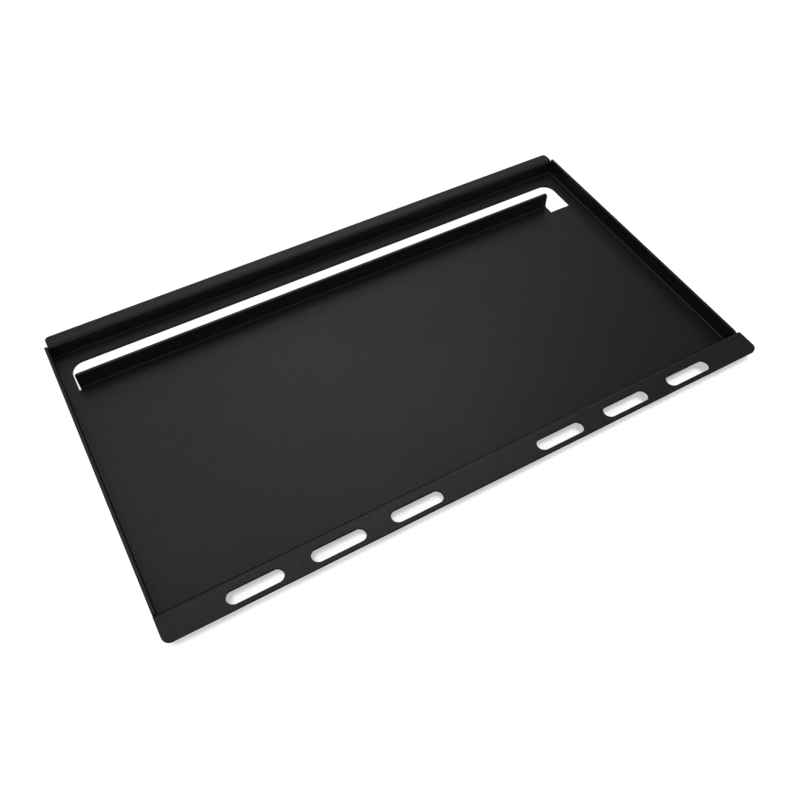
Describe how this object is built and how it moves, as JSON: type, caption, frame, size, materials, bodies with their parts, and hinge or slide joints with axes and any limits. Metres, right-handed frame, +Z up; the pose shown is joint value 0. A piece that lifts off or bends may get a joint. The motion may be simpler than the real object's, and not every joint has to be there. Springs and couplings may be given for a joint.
{
  "type": "flat top griddle",
  "caption": "Shallow folded-steel griddle plate for a range top, with low side walls, a raised slotted front lip, a rear flue opening, a bent-up grease dam and a drain notch.",
  "frame": {"origin": "on the tray's underside, at the middle of the overall width and depth", "axes": "+X to the right along the width, +Y to the rear, towards the flue opening, +Z up"},
  "size_m": [0.7494, 0.4366, 0.0276],
  "materials": {
    "seasoned_steel": "satin black high-heat coating over seasoned steel",
    "coated_weld": "satin black coating over a ground weld bead"
  },
  "bodies": {
    "root": {"cooking_deck": "seasoned_steel", "left_side_wall": "seasoned_steel", "right_side_wall": "seasoned_steel", "rear_rail": "seasoned_steel", "front_rail": "seasoned_steel", "grease_dam": "seasoned_steel", "weld_rear_left": "coated_weld", "weld_rear_right": "coated_weld", "weld_front_left": "coated_weld", "weld_front_right": "coated_weld"}
  },
  "joints": []
}
